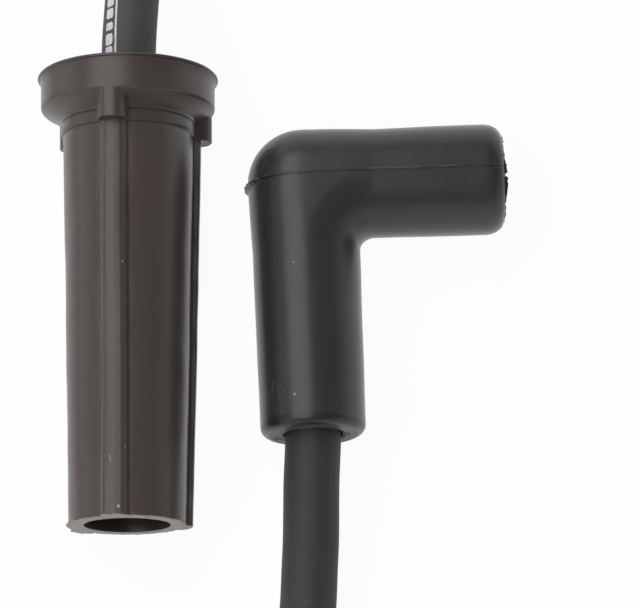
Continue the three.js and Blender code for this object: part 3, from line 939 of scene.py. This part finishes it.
def makeElbowFlash(coat):  # fins on the parting line at the corner, and round the two openings
    e = elbowBoot
    along = Vector((0, 1, 0))
    corner = []
    start, run = e["cornerFlash"]
    for i in range(19):
        angle = math.radians(start + run * i / 18)
        outward = Vector((-math.cos(angle), 0, math.sin(angle)))
        height = ragged(3, i * 0.45, 0.35, 0.8) * math.sin(math.pi * (i + 0.5) / 19) ** 0.5
        place = outward * (e["corner"] + 0.25) - along * e["partingPlace"][0]
        corner.append((place, outward, along, height))
    makeFlash("elbow_corner_flash", corner, 0.8, elbowMatrix(), coat)
    forward = Vector((1, 0, 0))
    nub = []
    start, run = e["mouthFlash"]
    for i in range(25):
        angle = math.radians(start + run * i / 24)
        across = Vector((0, math.cos(angle), math.sin(angle)))
        height = ragged(8, i * 0.5, 0.32, 0.6) * math.sin(math.pi * (i + 0.5) / 25) ** 0.5
        if i in e["mouthFlashGap"]:
            height = 0.12
        place = forward * (e["mouthLeg"] - 0.06) + across * (e["bore"] + 0.22)
        nub.append((place, forward, across, height))
    makeFlash("elbow_mouth_flash", nub, 0.3, elbowMatrix(), coat)
    for name, radius, low, high, place, outward in (
            ("elbow_bore_flash", e["bore"] + 0.2, -0.05, 0.3, e["mouthLeg"], forward),
            ("elbow_cable_flash", e["cableBore"] + 0.28, -0.12, 0.34, cableFace(), -along)):
        stations = []
        for degrees in range(0, 360, 4):
            angle = math.radians(degrees)
            side = along if outward == forward else forward
            across = side * math.cos(angle) + Vector((0, 0, math.sin(angle)))
            centre = forward * place if outward == forward else along * place
            lump = ragged(radius, degrees * 0.12, low, high)
            stations.append((centre + across * radius, outward, across, lump))
        makeFlash(name, stations, 0.16, elbowMatrix(), coat, True)


makeElbowFlash(makeElbow())


# Finishes of the pieces inside the boots

def jacketEnd():
    f = finish("cable_jacket_end")
    place = f.objectPlace()
    fuzz = f.grain(place, 2600, 3, 0.6)
    colour = f.blend(f.grain(place, 90, 3), tone(56, 57, 57), tone(68, 68, 67))
    return f.close(Base_Color=colour, Roughness=0.5 + fuzz * 0.16, Normal=f.bump(fuzz, 0.00003, 0.6))


def glassBraid():
    f = finish("glass_braid")
    place = f.objectPlace()
    weave = None
    for turn in (0.7, -0.7):
        slanted = f.node("ShaderNodeMapping", inputs={"Vector": place, "Rotation": (0.0, turn, 0.0)})
        bands = f.node("ShaderNodeTexWave", {"bands_direction": "Z"}, {"Vector": slanted, "Scale": 900.0})
        weave = weave.math("MAXIMUM", bands) if weave else bands
    colour = f.blend(weave, tone(150, 142, 122), tone(226, 221, 206))
    return f.close(Base_Color=colour, Roughness=0.7 + weave * 0.2, Normal=f.bump(weave, 0.00006, 0.9))


def moulded(name, dark, light, rough, scale):
    f = finish(name)
    place = f.objectPlace()
    cloud = f.grain(place, scale, 3)
    fine = f.grain(place, scale * 12, 3, 0.6)
    colour = f.blend(cloud, tone(*dark), tone(*light))
    return f.close(Base_Color=colour, Roughness=rough + fine * 0.15, Normal=f.bump(fine, 0.00003, 0.6))


def strand():
    f = finish("aramid_strand")
    place = f.objectPlace()
    fibre = f.grain(f.stretched(place, (1, 0.08, 1)), 5200, 3, 0.6)
    colour = f.blend(fibre, tone(150, 116, 50), tone(222, 186, 96))
    return f.close(Base_Color=colour, Roughness=0.65 + fibre * 0.2, Normal=f.bump(fibre, 0.00005, 0.9))


def metal(name, dark, light, rough):
    f = finish(name)
    place = f.objectPlace()
    cloud = f.grain(place, 160, 4, 0.6)
    drawn = f.grain(f.stretched(place, (1, 0.1, 1)), 2200, 3, 0.6)
    stain = f.grain(place, 420, 4, 0.7).above(0.6, 0.75)
    colour = f.blend(cloud, tone(*dark), tone(*light))
    colour = f.blend(stain * 0.4, colour, tone(104, 98, 86))
    return f.close(
        Base_Color=colour, Metallic=1.0 - stain * 0.3, Roughness=rough + drawn * 0.14 + stain * 0.2,
        Normal=f.bump(drawn, 0.00001, 0.6))


def finishNodes():
    coats = {
        "terminal": metal("plated_steel", (168, 165, 155), (206, 203, 194), 0.24),
        "clip": metal("spring_steel", (128, 130, 133), (170, 172, 176), 0.2),
        "jacket": jacketEnd(),
        "braid": glassBraid(),
        "insulation": moulded("inner_insulation", (132, 135, 139), (156, 159, 162), 0.55, 300),
        "suppressor": moulded("suppressor_coat", (22, 21, 20), (38, 37, 35), 0.7, 600),
        "core": strand(),
    }
    for name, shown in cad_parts.items():
        coat = coats.get(name.rsplit("_", 1)[-1])
        if coat is None or shown.hide_render:
            continue
        for i in range(max(1, len(shown.material_slots))):
            if len(shown.material_slots) <= i:
                shown.data.materials.append(coat)
            shown.material_slots[i].material = coat


finishNodes()
print("inner pieces finished")


# Floor, lamps and world

studio = {
    "floorSize": 6.0,
    "floor": 243,
    "floorUneven": 4,
    "floorClean": 0.95,  # how much of the floor's look is even white
    "panelSize": (0.59, 1.3),
    "panelPlace": (-0.325, 0.12, 0.6),
    "panelPower": 4.8,
    "horizon": 1.22,
    "zenith": 0.3,
    "fadeBetween": (0.1, 0.6),  # heights in the sky
    "leftward": 0.2,  # how much brighter the left is than the middle
}


def makeFloor():
    bm = bmesh.new()
    bmesh.ops.create_grid(bm, x_segments=2, y_segments=2, size=studio["floorSize"] / 2)
    mesh = bpy.data.meshes.new("floor")
    bm.to_mesh(mesh)
    bm.free()
    f = finish("floor")
    paper = f.grain(f.objectPlace(), 3, 2)
    seen = f.node("ShaderNodeLightPath", output="Is Camera Ray")
    mirrored = f.node("ShaderNodeLightPath", output="Is Glossy Ray")
    through = f.node("ShaderNodeLightPath", output="Is Transmission Ray")
    shows = (seen + mirrored + through).math("MINIMUM", 1.0)
    dark = studio["floor"]
    light = dark + studio["floorUneven"]
    colour = f.blend(paper, tone(dark, dark, dark), tone(light, light, light))
    surface = f.node("ShaderNodeBsdfPrincipled", inputs={"Base Color": colour, "Roughness": 0.9})
    white = f.node("ShaderNodeEmission", inputs={"Strength": 1.0})
    both = f.node("ShaderNodeMixShader", inputs=[shows * studio["floorClean"], surface, white])
    f.node("ShaderNodeOutputMaterial", inputs={"Surface": both})
    mesh.materials.append(f.owner)
    made = bpy.data.objects.new("floor", mesh)
    bpy.context.scene.collection.objects.link(made)


def makeLight():
    panel = bpy.data.lights.new("panel", "AREA")
    panel.shape = "RECTANGLE"
    panel.size, panel.size_y = studio["panelSize"]
    panel.energy = studio["panelPower"]
    lamp = bpy.data.objects.new("panel", panel)
    lamp.location = studio["panelPlace"]
    bpy.context.scene.collection.objects.link(lamp)
    f = Finish(bpy.data.worlds.new("studio"))
    bpy.context.scene.world = f.owner
    direction = f.node("ShaderNodeTexCoord", output="Generated")
    across, _, height = f.parts(direction)
    horizon = studio["horizon"]
    level = height.above(*studio["fadeBetween"]) * (studio["zenith"] - horizon) + horizon
    sky = f.node("ShaderNodeBackground", inputs={"Strength": level * (1 - across * studio["leftward"])})
    f.node("ShaderNodeOutputWorld", inputs={"Surface": sky})


makeFloor()
makeLight()
bpy.context.scene.view_settings.view_transform = "Standard"
print("floor and light placed")
